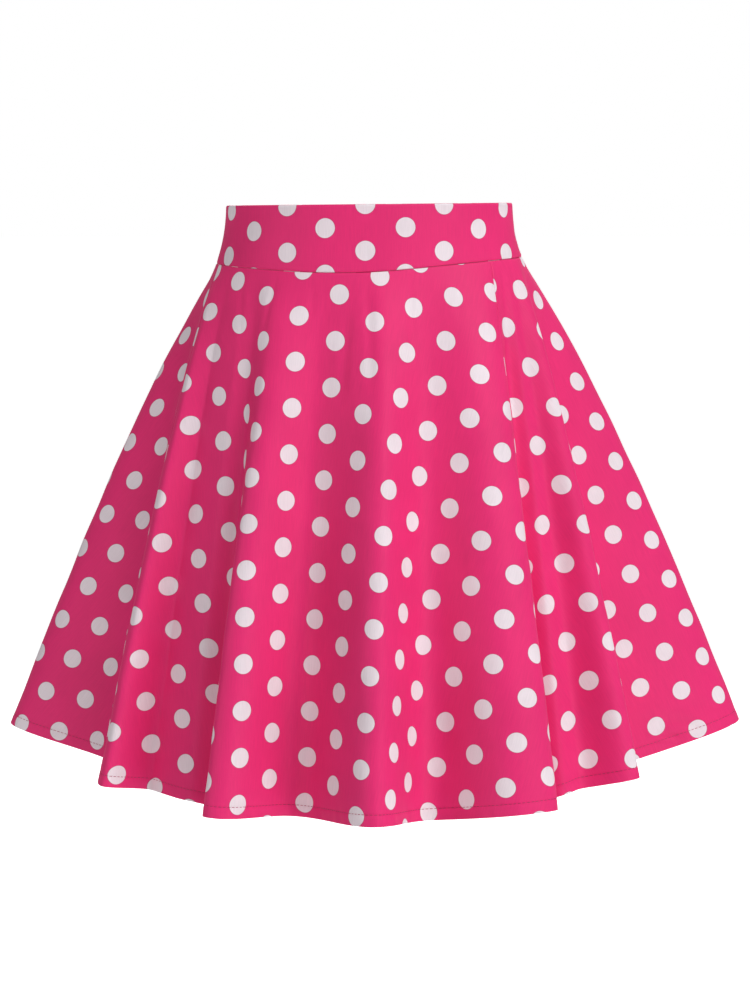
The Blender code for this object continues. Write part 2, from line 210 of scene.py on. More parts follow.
def hem_line():
    """Closed line of cubic stretches: each runs along the ring at both ends, its handles
    as long as its chord times the fullness there, and its height eases between them."""
    knots = []
    for _, crest_deg, crest_mm, crest_drop, valley_deg, valley_mm, valley_drop, fullness in FOLDS:
        knots.append((crest_deg, crest_mm, crest_drop, fullness))
        knots.append((valley_deg, valley_mm, valley_drop, VALLEY_FULLNESS))
    knots = np.array(knots)
    after = np.roll(knots, -1, axis=0)
    a, b = np.radians(knots[:, 0]), np.radians(after[:, 0])
    start = np.stack([np.sin(a), -np.cos(a)], axis=1) * knots[:, 1:2] * MM
    end = np.stack([np.sin(b), -np.cos(b)], axis=1) * after[:, 1:2] * MM
    chord = np.linalg.norm(end - start, axis=1, keepdims=True)
    pull_start = np.stack([np.cos(a), np.sin(a)], axis=1) * chord * knots[:, 3:4]
    pull_end = np.stack([np.cos(b), np.sin(b)], axis=1) * chord * after[:, 3:4]
    s = (np.arange(HEM_STEPS) / HEM_STEPS)[None, :, None]
    fade = 2 * s**3 - 3 * s**2 + 1
    plan = fade * start[:, None] + (1 - fade) * end[:, None]
    plan = plan + (s**3 - 2 * s**2 + s) * pull_start[:, None] + (s**3 - s**2) * pull_end[:, None]
    height = -(fade * knots[:, None, 2:3] + (1 - fade) * after[:, None, 2:3]) * MM
    return np.concatenate([plan, height], axis=2).reshape(-1, 3)


def hem_index(fold_name, share):
    """Number of the hem point this share past a fold's crest (1 is its valley)."""
    names = [fold[0] for fold in FOLDS]
    return int(round((names.index(fold_name) * 2 + share) * HEM_STEPS))


hem = hem_line()
print("hem", round(float(np.linalg.norm(np.diff(hem[:, :2], axis=0), axis=1).sum()), 2), "m round")


# %% Surfaces on a grid
def at_shares(points, shares):
    """The line's points at shares of its length in plan."""
    steps = np.linalg.norm(np.diff(points[:, :2], axis=0), axis=1)
    length = np.concatenate([[0.0], np.cumsum(steps)])
    return np.stack([np.interp(shares * length[-1], length, column) for column in points.T], axis=1)


def skirt_surface(hem_from, hem_to, waist_from, waist_to, shares, t):
    """Grid (t, shares) on a panel: waist point * (1 - g) + hem point * g, where
    g = t + 0.19 t (1 - t) + 0.30 side t (1 - t)^3 bows the cloth out over the hip, and
    side is 1 at the two sides and 0 at the centre front and back."""
    first, last = hem_index(*hem_from), hem_index(*hem_to)
    if last <= first:
        last += len(hem)
    low = at_shares(hem[np.arange(first, last + 1) % len(hem)], shares)
    angles = np.linspace(waist_from, waist_to, 721)
    high = at_shares(oval(BAND_SEAM_HALF, angles), shares)
    t = t[:, None, None]
    sideways = (high[None, :, :1] / BAND_SEAM_HALF[0]) ** 2
    spread = t + HIP_SPRING * t * (1 - t) + HIP_SIDE * sideways * t * (1 - t) ** 3
    plan = high[None] * (1 - spread) + low[None, :, :2] * spread
    height = -(seam_drop(high) + SEAM_GAP)[None, :, None] * (1 - t) + low[None, :, 2:] * t
    return np.concatenate([plan, height], axis=2)


def band_surface(azimuths_deg, s):
    """Grid (s, azimuths) on the waistband: upright above, flaring by s to the power 2.1."""
    top, low = oval(BAND_TOP_HALF, azimuths_deg), oval(BAND_SEAM_HALF, azimuths_deg)
    flare = (s**BAND_FLARE_POWER)[:, None, None]
    plan = top[None] * (1 - flare) + low[None] * flare
    rise = BAND_TILT * np.sin(np.radians(azimuths_deg))
    height = rise[None] * (1 - s[:, None]) - seam_drop(low)[None] * s[:, None]
    return np.concatenate([plan, height[..., None]], axis=2)


def outward(grid):
    """Unit normals: the cross product of the downward and the sideways differences."""
    normal = np.cross(np.gradient(grid, axis=0), np.gradient(grid, axis=1))
    return normal / np.linalg.norm(normal, axis=2, keepdims=True)


def ring_length(grid):
    """Length along each row of the grid, from its first column."""
    steps = np.linalg.norm(np.diff(grid, axis=1), axis=2)
    return np.concatenate([np.zeros((len(grid), 1)), np.cumsum(steps, axis=1)], axis=1)


def fine_ends(count, near):
    """Values from 0 to 1: count even ones, and close to both ends the near ones."""
    near = np.asarray(near)
    return np.concatenate([near[:-1], np.linspace(near[-1], 1 - near[-1], count), 1 - near[-2::-1]])


# %% [markdown]
# ## The flat pattern
#
# Cloth bends but hardly stretches, so the print must be laid out on the flat piece and not
# painted on the finished form. Lengths along each ring and down each line of cloth are
# kept, and unrolling them gives a sector of a ring, which is how a flared panel is cut.
# Those flat coordinates, in metres, are stored as the piece's UV map.

# %% Unroll a piece
def flat_pattern(grid, radius, axis_share, down, shift):
    """UV in metres of a ring sector: angle = (ring length - length at the axis) / rho,
    U = rho sin(angle), V = radius - rho cos(angle), with rho = radius + distance down."""
    along = ring_length(grid)
    shares = along[-1] / along[-1, -1]
    at_axis = np.stack([np.interp(axis_share, shares, row) for row in along])[:, None]
    rho = radius + down
    angle = (along - at_axis) / rho
    u = rho * np.sin(angle) + shift[0]
    v = radius - rho * np.cos(angle) + shift[1]
    return np.stack([u, v], axis=2)


# %% [markdown]
# ## Sewn detail in the form
#
# At a seam the cloth turns inwards, so its edge rolls away in a small round. The hem is
# turned up once and stitched, which leaves a fine groove 9.5 mm above the edge, slightly
# puckered between the stitches. Small creases are placed from a short table.

# %% Reliefs, in metres along the normal
ROLL_DEPTH = 0.5 * MM
ROLL_WIDTH = 0.8 * MM
HEM_STITCH = 9.5 * MM            # above the hem's edge
STITCH_PITCH = 3.6 * MM
HEM_FULLER = 0.15 * MM
HEM_FULLER_EASE = 2.5 * MM
GROOVE_DEPTH = 0.2 * MM
GROOVE_WIDTH = 0.9 * MM
WAVE_HEIGHT = 0.12 * MM
WAVE_LENGTHS = (17.0 * MM, 11.3 * MM)
WAVE_LEAN = 0.8
CREASE_EASE = 0.35               # share of a crease's length over which each end fades


def bell(distance, width):
    """exp(-(distance / width) squared)."""
    return np.exp(-((distance / width) ** 2))


def smooth_step(x):
    """0 below 0, 1 above 1, and 3 x^2 - 2 x^3 between."""
    x = np.clip(x, 0.0, 1.0)
    return x * x * (3 - 2 * x)


def seam_roll(grid, top_distance):
    """The rounded edges along the two side seams and along the waist seam."""
    along = ring_length(grid)
    side = np.minimum(along, along[:, -1:] - along)
    return -ROLL_DEPTH * np.maximum(bell(side, ROLL_WIDTH), bell(top_distance, ROLL_WIDTH))


def hem_relief(grid, above_edge):
    """The turned-up hem: 0.15 mm fuller below the stitching, a groove at it, faint waves."""
    along = ring_length(grid)
    fuller = HEM_FULLER * smooth_step((HEM_STITCH - above_edge) / HEM_FULLER_EASE)
    pinch = 0.8 + 0.2 * np.cos(2 * np.pi * along / STITCH_PITCH)
    groove = -GROOVE_DEPTH * bell(above_edge - HEM_STITCH, GROOVE_WIDTH) * pinch
    turns = 2 * np.pi * (along + WAVE_LEAN * above_edge)
    waves = np.sin(turns / WAVE_LENGTHS[0]) + 0.6 * np.sin(turns / WAVE_LENGTHS[1] + 1.0)
    faint = WAVE_HEIGHT * waves * smooth_step((16 * MM - above_edge) / (12 * MM))
    return fuller + groove + faint


def unevenness(flat, phase):
    """Long shallow waves that no hanging cloth is free of, under 0.7 mm where they add up."""
    u, v = flat[..., 0], flat[..., 1]
    waves = (
        0.22 * np.sin(2 * np.pi * (u / 0.083 + v / 0.31) + phase)
        + 0.18 * np.sin(2 * np.pi * (u / 0.047 - v / 0.19) + 2.1 * phase)
        + 0.14 * np.sin(2 * np.pi * (u / 0.121 - v / 0.067) + 3.7 * phase)
        + 0.08 * np.sin(2 * np.pi * (u / 0.033 + v / 0.052) + 5.3 * phase)
    )
    return waves * MM


def crease_relief(flat, shares, t, creases):
    """Each crease is a groove along a straight line of the flat pattern, between two
    (share, t) places: -depth * bell(distance across, width), eased to nothing at its ends."""
    relief = np.zeros(flat.shape[:2])
    for share_a, t_a, share_b, t_b, width_mm, depth_mm in creases:
        ends = []
        for share, down in ((share_a, t_a), (share_b, t_b)):
            row, column = np.argmin(np.abs(t - down)), np.argmin(np.abs(shares - share))
            ends.append(flat[row, column])
        run = ends[1] - ends[0]
        length = np.linalg.norm(run)
        offset = flat - ends[0]
        along = (offset @ run) / length**2
        across = (offset[..., 0] * run[1] - offset[..., 1] * run[0]) / length
        ease = smooth_step(along / CREASE_EASE) * smooth_step((1 - along) / CREASE_EASE)
        relief -= depth_mm * MM * bell(across, width_mm * MM) * ease
    return relief


# %% [markdown]
# ## From grids to meshes
#
# A grid of points becomes a sheet of quads. Solidify gives it the cloth's wall on the
# inside, and a small Bevel rounds the cut edges. The inside of a printed cotton is paler,
# so Solidify hands the inner faces a second material.

# %% Mesh helpers
def sheet_mesh(name, grid, flat):
    """Quads between neighbouring grid points, wound to face out, with the flat pattern as UV."""
    rows, columns = grid.shape[:2]
    number = np.arange(rows * columns).reshape(rows, columns)
    quads = np.stack(
        [number[1:, :-1], number[1:, 1:], number[:-1, 1:], number[:-1, :-1]], axis=2
    ).reshape(-1, 4)
    mesh = bpy.data.meshes.new(name)
    mesh.from_pydata(grid.reshape(-1, 3).tolist(), [], quads.tolist())
    layer = mesh.uv_layers.new(name="flat_pattern")
    layer.uv.foreach_set("vector", flat.reshape(-1, 2)[quads.ravel()].astype(np.float32).ravel())
    mesh.shade_smooth()
    return mesh


def cloth_piece(name, grid, flat, wall, materials, edge_round):
    """A shell of cloth: the sheet, its wall inwards, and rounded edges."""
    mesh = sheet_mesh(name, grid, flat)
    for material in materials:
        mesh.materials.append(material)
    piece = bpy.data.objects.new(name, mesh)
    bpy.context.scene.collection.objects.link(piece)
    solidify = piece.modifiers.new("wall", "SOLIDIFY")
    solidify.thickness = wall
    solidify.offset = -1.0
    solidify.use_even_offset = True
    solidify.material_offset = 1 if len(materials) > 1 else 0
    bevel = piece.modifiers.new("edge_round", "BEVEL")
    bevel.width = edge_round
    bevel.segments = 2
    bevel.material = 0
    bevel.limit_method = "ANGLE"
    bevel.angle_limit = np.radians(60.0)
    return piece


# %% [markdown]
# ## Shader groups
#
# Three effects are shared, so each is a node group. The dot print works in the flat
# pattern's metres: a staggered lattice of dots is two plain lattices, one shifted by half
# a step each way, and the nearer of the two centres decides. The weave is a plain weave of
# fine threads, and the handling group adds soft unevenness to colour and surface.

# %% Node helpers
def new_group(name, inputs, outputs):
    """An empty shader group with named sockets: (name, socket type, default value)."""
    group = bpy.data.node_groups.new(name, "ShaderNodeTree")
    for label, kind, value in inputs:
        socket = group.interface.new_socket(name=label, in_out="INPUT", socket_type=kind)
        if value is not None:
            socket.default_value = value
    for label, kind in outputs:
        group.interface.new_socket(name=label, in_out="OUTPUT", socket_type=kind)
    return group, group.nodes.new("NodeGroupInput"), group.nodes.new("NodeGroupOutput")


def math_node(tree, operation, *values):
    """A Math node whose inputs are numbers or the outputs of other nodes."""
    node = tree.nodes.new("ShaderNodeMath")
    node.operation = operation
    for socket, value in zip(node.inputs, values):
        if isinstance(value, (int, float)):
            socket.default_value = value
        else:
            tree.links.new(value, socket)
    return node.outputs[0]


def mix_colour(tree, factor, first, second, blend="MIX"):
    """A Mix node for colours, with numbers, colours or outputs as its inputs."""
    node = tree.nodes.new("ShaderNodeMix")
    node.data_type = "RGBA"
    node.blend_type = blend
    for socket, value in ((node.inputs[0], factor), (node.inputs[6], first), (node.inputs[7], second)):
        if isinstance(value, bpy.types.NodeSocket):
            tree.links.new(value, socket)
        else:
            socket.default_value = value
    return node.outputs[2]


def map_range(tree, value, low, high, to_low, to_high):
    """A smooth Map Range from low..high to to_low..to_high."""
    node = tree.nodes.new("ShaderNodeMapRange")
    node.interpolation_type = "SMOOTHSTEP"
    for socket, given in zip(node.inputs, (value, low, high, to_low, to_high)):
        if isinstance(given, (int, float)):
            socket.default_value = given
        else:
            tree.links.new(given, socket)
    return node.outputs[0]


# %% The dot print
DOT_STEP = 38.6 * MM
DOT_RADIUS = 8.25 * MM


def make_dot_group():
    """Distance to the nearest lattice point = min over both lattices of the length of the
    wrapped offset. Dot where distance < radius, a darker rim just outside it."""
    group, given, out = new_group(
        "dot_print",
        [
            ("Flat", "NodeSocketVector", None),
            ("Step", "NodeSocketFloat", DOT_STEP),
            ("Radius", "NodeSocketFloat", DOT_RADIUS),
            ("Ground", "NodeSocketColor", (0.7, 0.03, 0.15, 1.0)),
            ("Dot", "NodeSocketColor", (0.8, 0.8, 0.8, 1.0)),
            ("Rim", "NodeSocketColor", (0.3, 0.05, 0.12, 1.0)),
        ],
        [("Colour", "NodeSocketColor"), ("Dot mask", "NodeSocketFloat")],
    )
    split = group.nodes.new("ShaderNodeSeparateXYZ")
    group.links.new(given.outputs["Flat"], split.inputs[0])
    step = given.outputs["Step"]
    column = math_node(group, "MULTIPLY", step, float(np.sqrt(3.0)))
    half_step = math_node(group, "MULTIPLY", step, 0.5)
    half_column = math_node(group, "MULTIPLY", column, 0.5)
    distances = []
    for shift_u, shift_v in ((0.0, 0.0), (half_column, half_step)):
        u = math_node(group, "SUBTRACT", split.outputs[0], shift_u)
        v = math_node(group, "SUBTRACT", split.outputs[1], shift_v)
        u = math_node(group, "WRAP", u, half_column, math_node(group, "MULTIPLY", half_column, -1.0))
        v = math_node(group, "WRAP", v, half_step, math_node(group, "MULTIPLY", half_step, -1.0))
        square = math_node(group, "MULTIPLY_ADD", u, u, math_node(group, "MULTIPLY", v, v))
        distances.append(math_node(group, "SQRT", square))
    nearest = math_node(group, "MINIMUM", *distances)
    edge = math_node(group, "SUBTRACT", nearest, given.outputs["Radius"])
    dot = map_range(group, edge, -0.15 * MM, 0.15 * MM, 1.0, 0.0)
    ring = map_range(group, math_node(group, "ABSOLUTE", edge), 0.1 * MM, 0.55 * MM, 0.75, 0.0)
    with_rim = mix_colour(group, ring, given.outputs["Ground"], given.outputs["Rim"])
    colour = mix_colour(group, dot, with_rim, given.outputs["Dot"])
    group.links.new(colour, out.inputs["Colour"])
    group.links.new(dot, out.inputs["Dot mask"])
    return group


# %% The weave
def make_weave_group():
    """Plain weave: |sin(pi u / p)| threads one way and |sin(pi v / p)| the other, and the
    sign of sin * sin chooses which of the two lies on top."""
    group, given, out = new_group(
        "plain_weave",
        [("Flat", "NodeSocketVector", None), ("Pitch", "NodeSocketFloat", 0.5 * MM)],
        [("Height", "NodeSocketFloat"), ("Tone", "NodeSocketFloat")],
    )
    split = group.nodes.new("ShaderNodeSeparateXYZ")
    group.links.new(given.outputs["Flat"], split.inputs[0])
    waves = []
    for place in (split.outputs[0], split.outputs[1]):
        turns = math_node(group, "DIVIDE", place, given.outputs["Pitch"])
        waves.append(math_node(group, "SINE", math_node(group, "MULTIPLY", turns, float(np.pi))))
    over = math_node(group, "MULTIPLY", *waves)
    height = math_node(group, "MULTIPLY_ADD", over, 0.5, 0.5)
    slub = group.nodes.new("ShaderNodeTexNoise")
    stretch = group.nodes.new("ShaderNodeMapping")
    stretch.inputs["Scale"].default_value = (1500.0, 60.0, 1.0)
    group.links.new(given.outputs["Flat"], stretch.inputs["Vector"])
    group.links.new(stretch.outputs[0], slub.inputs["Vector"])
    slub.inputs["Scale"].default_value = 1.0
    slub.inputs["Detail"].default_value = 2.0
    tone = map_range(group, slub.outputs["Fac"], 0.3, 0.7, 0.97, 1.03)
    group.links.new(height, out.inputs["Height"])
    group.links.new(tone, out.inputs["Tone"])
    return group


# %% Handling: soft unevenness of tone and surface
def make_handling_group():
    """Broad noise in the flat pattern for tone, and a finer, longer one for the surface."""
    group, given, out = new_group(
        "handling",
        [("Flat", "NodeSocketVector", None)],
        [("Tone", "NodeSocketFloat"), ("Height", "NodeSocketFloat")],
    )
    broad = group.nodes.new("ShaderNodeTexNoise")
    broad.inputs["Scale"].default_value = 14.0
    broad.inputs["Detail"].default_value = 3.0
    group.links.new(given.outputs["Flat"], broad.inputs["Vector"])
    stretch = group.nodes.new("ShaderNodeMapping")
    stretch.inputs["Scale"].default_value = (42.0, 16.0, 1.0)
    group.links.new(given.outputs["Flat"], stretch.inputs["Vector"])
    soft = group.nodes.new("ShaderNodeTexNoise")
    soft.inputs["Scale"].default_value = 1.0
    soft.inputs["Detail"].default_value = 2.5
    group.links.new(stretch.outputs[0], soft.inputs["Vector"])
    group.links.new(map_range(group, broad.outputs["Fac"], 0.3, 0.7, 0.965, 1.03), out.inputs["Tone"])
    group.links.new(soft.outputs["Fac"], out.inputs["Height"])
    return group


dot_group = make_dot_group()
weave_group = make_weave_group()
handling_group = make_handling_group()
print("groups:", [g.name for g in (dot_group, weave_group, handling_group)])

# %% [markdown]
# ## Cloth materials
#
# The cotton is matt with a faint sheen from its fibre ends. Its right side shows the full
# print. The wrong side is the same print, paler, as ink that has soaked through.

# %% Printed cotton
GROUND_PINK = (0.785, 0.021, 0.165, 1.0)
DOT_WHITE = (0.815, 0.715, 0.765, 1.0)
RIM_MAUVE = (0.30, 0.04, 0.12, 1.0)


def group_node(tree, group, flat, **values):
    """Place a group in a material, fed by the flat pattern and its own values."""
    node = tree.nodes.new("ShaderNodeGroup")
    node.node_tree = group
    tree.links.new(flat, node.inputs["Flat"])
    for label, value in values.items():
        node.inputs[label].default_value = value
    return node


def cotton_material(name, ground, dot, rim, roughness, sheen):
    """Dot print times two tones for colour, weave and soft noise for the bump."""
    material = bpy.data.materials.new(name)
    material.use_nodes = True
    tree = material.node_tree
    shader = tree.nodes["Principled BSDF"]
    uv = tree.nodes.new("ShaderNodeUVMap")
    uv.uv_map = "flat_pattern"
    flat = uv.outputs["UV"]
    dots = group_node(tree, dot_group, flat, Ground=ground, Dot=dot, Rim=rim)
    weave = group_node(tree, weave_group, flat)
    handling = group_node(tree, handling_group, flat)
    tone = math_node(tree, "MULTIPLY", weave.outputs["Tone"], handling.outputs["Tone"])
    colour = tree.nodes.new("ShaderNodeVectorMath")
    colour.operation = "SCALE"
    tree.links.new(dots.outputs["Colour"], colour.inputs[0])
    tree.links.new(tone, colour.inputs["Scale"])
    tree.links.new(colour.outputs[0], shader.inputs["Base Color"])
    soft_bump = tree.nodes.new("ShaderNodeBump")
    soft_bump.inputs["Strength"].default_value = 0.35
    soft_bump.inputs["Distance"].default_value = 1.2 * MM
    tree.links.new(handling.outputs["Height"], soft_bump.inputs["Height"])
    weave_bump = tree.nodes.new("ShaderNodeBump")
    weave_bump.inputs["Strength"].default_value = 0.25
    weave_bump.inputs["Distance"].default_value = 0.04 * MM
    tree.links.new(weave.outputs["Height"], weave_bump.inputs["Height"])
    tree.links.new(soft_bump.outputs[0], weave_bump.inputs["Normal"])
    tree.links.new(weave_bump.outputs[0], shader.inputs["Normal"])
    shader.inputs["Roughness"].default_value = roughness
    shader.inputs["Specular IOR Level"].default_value = 0.3
    shader.inputs["Sheen Weight"].default_value = sheen
    shader.inputs["Sheen Roughness"].default_value = 0.45
    return material


cotton_face = cotton_material("cotton_print", GROUND_PINK, DOT_WHITE, RIM_MAUVE, 0.62, 0.03)
PALE_GROUND = (0.70, 0.12, 0.26, 1.0)
PALE_DOT = (0.76, 0.66, 0.70, 1.0)
PALE_RIM = (0.62, 0.16, 0.28, 1.0)
cotton_back = cotton_material("cotton_print_wrong_side", PALE_GROUND, PALE_DOT, PALE_RIM, 0.78, 0.08)

# %% [markdown]
# ## Skirt panels
#
# The front panel's seams lie in front of the silhouette: they start near both ends of the
# visible waist and run down along the outermost front folds, where the print jumps. The
# other two panels wrap round the sides to the centre back.

# %% Panels, their cut and their creases
# length is the cloth from waist seam to hem, and cut_radius, grain_at and shift lay out the
# flat piece. Share 0 is its edge on the left as seen from outside, share 1 its right edge.
# t is 0 at the waist and 1 at the hem. Each crease: from (share, t) to (share, t), width
# and depth in mm. The print of pressed cloth never hangs quite on its grain, so each ease
# shifts it: share, t, how far it reaches in share and in t, and mm across and down. A tuck
# is the same for cloth that lies hidden in a pleat: from share, to share, mm across and down.
PANELS = (
    {
        "name": "front_panel",
        "node": "skirt_front",
        "hem": (("left_side", 1.80), ("right_inner", 0.4)),
        "waist": (-78.0, 51.0),
        "length": 454.0 * MM,
        "cut_radius": 0.28,
        "grain_at": 0.44,
        "shift": (0.050, 0.018),
        "columns": 300,
        "creases": (
            (0.16, 0.01, 0.19, 0.16, 3.0, 0.5),
            (0.30, 0.00, 0.27, 0.14, 2.6, 0.6),
            (0.42, 0.02, 0.42, 0.10, 3.6, 0.7),
            (0.53, 0.04, 0.52, 0.26, 5.0, 1.0),
            (0.58, 0.00, 0.61, 0.25, 4.5, 1.1),
            (0.71, 0.00, 0.73, 0.18, 3.2, 0.6),
            (0.88, 0.01, 0.86, 0.12, 2.4, 0.4),
        ),
        "tuck": (0.20, 0.28, -22.0, 2.0),
        "eases": (
            (0.20, 0.90, 0.12, 0.35, -8.0, 0.0),
            (0.10, 0.15, 0.15, 0.25, -6.0, -1.0),
            (0.33, 0.60, 0.12, 0.60, -3.0, -3.0),
            (0.62, 1.00, 0.12, 0.40, -13.0, -3.0),
            (0.90, 0.30, 0.25, 0.50, 8.0, 2.0),
        ),
    },
    {
        "name": "side_back_panel_right",
        "node": "skirt_back_right",
        "hem": (("right_inner", 0.4), ("back_right_inner", 1.5)),
        "waist": (51.0, 180.0),
        "length": 443.0 * MM,
        "cut_radius": 0.20,
        "grain_at": 0.375,
        "shift": (0.0, 0.006),
        "columns": 340,
        "creases": (
            (0.19, 0.90, 0.27, 0.95, 4.5, 0.9),
            (0.25, 0.95, 0.29, 0.995, 3.2, 1.6),
            (0.26, 0.93, 0.31, 0.985, 3.8, 2.2),
            (0.29, 0.92, 0.34, 0.975, 3.2, 1.4),
            (0.10, 0.01, 0.12, 0.13, 2.6, 0.5),
            (0.42, 0.00, 0.44, 0.16, 3.0, 0.5),
            (0.57, 0.01, 0.56, 0.12, 2.6, 0.6),
            (0.74, 0.00, 0.76, 0.19, 3.2, 0.5),
            (0.90, 0.01, 0.89, 0.10, 2.2, 0.5),
        ),
        "tuck": (0.0, 1.0, 0.0, 0.0),
        "eases": (),
    },
    {
        "name": "side_back_panel_left",
        "node": "skirt_back_left",
        "hem": (("back_right_inner", 1.5), ("left_side", 1.80)),
        "waist": (180.0, 282.0),
        "length": 438.0 * MM,
        "cut_radius": 0.24,
        "grain_at": 0.475,
        "shift": (0.026, 0.002),
        "columns": 270,
        "creases": (
            (0.09, 0.01, 0.10, 0.11, 2.2, 0.5),
            (0.28, 0.00, 0.26, 0.17, 3.2, 0.5),
            (0.46, 0.01, 0.48, 0.13, 2.6, 0.6),
            (0.66, 0.00, 0.65, 0.15, 3.0, 0.5),
            (0.84, 0.01, 0.86, 0.12, 2.4, 0.4),
        ),
        "tuck": (0.0, 1.0, 0.0, 0.0),
        "eases": (),
    },
)
EDGE_SPACING = np.array([0.0, 0.7, 1.4, 2.2, 3.4]) * MM
PANEL_SPAN = 0.55                # metres that turn the spacing at an edge into shares
PLAIN_ROWS = 92
HEM_ROWS_FROM = 16.0 * MM        # above the edge, where the close rows at the hem begin
STRETCH_DOWN = 0.04              # how unevenly cloth length runs with t
HEM_ROWS = np.array([14.0, 12.5, 11.5, 10.8, 10.2, 9.5, 8.8, 8.2, 7.0, 5.5, 4.0, 2.5, 1.2, 0.0]) * MM
ROWS_DOWN = np.concatenate(
    [
        np.array([0.0, 0.6, 1.2, 2.0, 3.2]) * MM / CLOTH_LENGTH,
        np.linspace(5.0 * MM / CLOTH_LENGTH, 1.0 - HEM_ROWS_FROM / CLOTH_LENGTH, PLAIN_ROWS),
        1.0 - HEM_ROWS / CLOTH_LENGTH,
    ]
)


def print_ease(shares, t, tuck, eases):
    """Shift of the print: the sum of (across, down) * bell in share * bell in t, and the
    tuck's shift on all the cloth before its pleat, fading in below the waist."""
    before = 1.0 - smooth_step((shares - tuck[0]) / (tuck[1] - tuck[0]))
    weight = smooth_step(t / 0.35)[:, None] * before[None, :]
    shift = weight[..., None] * np.array(tuck[2:]) * MM
    for share, down, reach_share, reach_t, across_mm, down_mm in eases:
        weight = bell(t - down, reach_t)[:, None] * bell(shares - share, reach_share)[None, :]
        shift += weight[..., None] * np.array([across_mm, down_mm]) * MM
    return shift


def panel_grids(panel):
    """The panel's finished outer face, its flat pattern and its even shares."""
    shares = fine_ends(panel["columns"], EDGE_SPACING / PANEL_SPAN)
    grid = skirt_surface(*panel["hem"], *panel["waist"], shares, ROWS_DOWN)
    t = ROWS_DOWN[:, None]
    extra = (seam_drop(grid[0, :, :2]) - FRONT_SEAM_DROP)[None, :] * (1 - t)
    down = panel["length"] * (t - STRETCH_DOWN * t * (1 - t)) + extra
    flat = flat_pattern(grid, panel["cut_radius"], panel["grain_at"], down, panel["shift"])
    below_seam = smooth_step(t / 0.06)
    own_phase = panel["cut_radius"] * 9 + panel["columns"]
    relief = seam_roll(grid, CLOTH_LENGTH * t)
    relief = relief + hem_relief(grid, CLOTH_LENGTH * (1 - t))
    relief = relief + unevenness(flat, own_phase) * below_seam
    relief = relief + crease_relief(flat, shares, ROWS_DOWN, panel["creases"])
    return grid + outward(grid) * relief[..., None], flat, shares


print("rows down a panel:", len(ROWS_DOWN))


# %% Make the panels, with the hem's turned-up inside
TURN_UP_WALL = 0.7 * MM
TURN_UP_DEPTH = 10.6 * MM
TURN_UP_GAP = 0.05 * MM


finished = {}
for panel in PANELS:
    grid, flat, shares = panel_grids(panel)
    finished[panel["name"]] = (grid, flat, shares)
    printed = flat + print_ease(shares, ROWS_DOWN, panel["tuck"], panel["eases"])
    cloth = cloth_piece(panel["name"], grid, printed, CLOTH_WALL, (cotton_face, cotton_back), 0.5 * MM)
    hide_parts(panel["node"])
    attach(cloth, "skirt")
    turned = ROWS_DOWN > 1.0 - TURN_UP_DEPTH / CLOTH_LENGTH
    inside = (grid - outward(grid) * (CLOTH_WALL + TURN_UP_GAP))[turned][:-1]
    turn_up = cloth_piece(
        panel["name"] + "_turn_up", inside, printed[turned][:-1], TURN_UP_WALL, (cotton_face,), 0.25 * MM
    )
    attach(turn_up, "skirt")

# %% [markdown]
# ## Waistband
#
# The band is cut double over a stiffener, so it stands round and smooth, folded at its top
# edge and sewn to the skirt below. Its print runs level at the centre front and, because
# the band is shaped, drops slightly towards the sides.

# %% Waistband pieces
BAND_PIECES = (
    {"name": "band_front", "node": "waistband_front", "from": -97.0, "to": 97.0,
     "columns": 170, "shift": (-0.0303, 0.0193)},
    {"name": "band_back_right", "node": "waistband_back_right", "from": 97.0, "to": 180.0,
     "columns": 80, "shift": (0.012, 0.004)},
    {"name": "band_back_left", "node": "waistband_back_left", "from": 180.0, "to": 263.0,
     "columns": 80, "shift": (-0.021, 0.027)},
)
BAND_CUT_RADIUS = 2.0
BAND_DEPTH = 50.0 * MM
BAND_SPAN = 0.3
BAND_SLOPE = 1.01                # length down the band's face for each metre of depth
BAND_ROWS = fine_ends(34, EDGE_SPACING / BAND_DEPTH)


def band_grids(piece):
    """The band's finished outer face and its flat pattern."""
    trim = np.degrees(SEAM_GAP / 2 / BAND_TOP_HALF[1])
    shares = fine_ends(piece["columns"], EDGE_SPACING / BAND_SPAN)
    azimuths = piece["from"] + trim + shares * (piece["to"] - piece["from"] - 2 * trim)
    grid = band_surface(azimuths, BAND_ROWS)
    depth = -grid[..., 2] + grid[:1, :, 2]
    flat = flat_pattern(grid, BAND_CUT_RADIUS, 0.5, depth * BAND_SLOPE, (0.0, 0.0))
    flat = np.stack([flat[..., 0] + piece["shift"][0], -flat[..., 1] + piece["shift"][1]], axis=2)
    lower = (depth[-1:] - depth) * BAND_SLOPE
    relief = seam_roll(grid, lower)
    top_round = -0.9 * MM * bell(depth, 0.9 * MM)
    soft = 0.25 * MM * np.sin(2 * np.pi * (flat[..., 0] / 0.061 + flat[..., 1] / 0.13))
    ease = smooth_step(depth / (8 * MM)) * smooth_step(lower / (8 * MM))
    return grid + outward(grid) * (relief + top_round + soft * ease)[..., None], flat


for piece in BAND_PIECES:
    grid, flat = band_grids(piece)
    band = cloth_piece(piece["name"], grid, flat, BAND_WALL, (cotton_face,), 0.5 * MM)
    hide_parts(piece["node"])
    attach(band, "skirt")

# %% [markdown]
# ## Hem stitching
#
# A line of machine stitches holds the turned-up hem. Each stitch is a short thread that
# rises from the cloth and dives back. There are hundreds, so each has only a few faces.

# %% Stitches along the hem
THREAD_RADIUS = 0.25 * MM
THREAD_SIDES = 5
STITCH_ALONG = np.array([-1.45, -0.9, 0.0, 0.9, 1.45]) * MM
STITCH_RISE = np.array([-0.15, 0.08, 0.12, 0.08, -0.15]) * MM
STITCH_SLIM = np.array([0.35, 0.85, 1.0, 0.85, 0.35])


